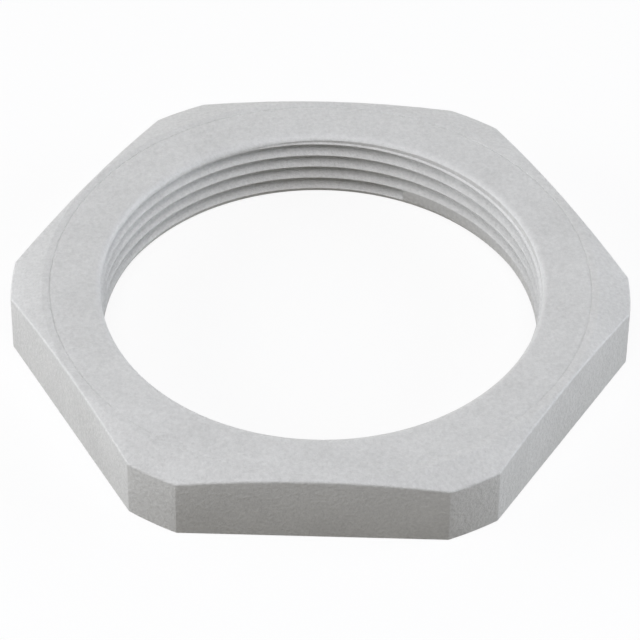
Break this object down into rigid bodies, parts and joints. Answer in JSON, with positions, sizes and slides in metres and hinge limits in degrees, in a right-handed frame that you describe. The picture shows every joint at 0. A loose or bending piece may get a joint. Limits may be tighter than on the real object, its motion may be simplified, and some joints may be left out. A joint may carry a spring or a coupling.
{
  "type": "cable gland locknut",
  "caption": "Thin moulded hexagonal locknut with a fine threaded bore, shallow bevelled top and turned-off corners, for holding a cable gland in an enclosure wall.",
  "frame": {"origin": "centre of the bore on the flat seat face", "axes": "+Z along the thread's axis, from the seat face to the bevelled top; a spanner flat faces -Y and a corner points along +X"},
  "size_m": [0.0646, 0.0584, 0.0078],
  "materials": {
    "grey_polyamide": "fine-textured moulded polyamide, light grey, dull sheen"
  },
  "bodies": {
    "root": {"locknut": "grey_polyamide"}
  },
  "joints": []
}
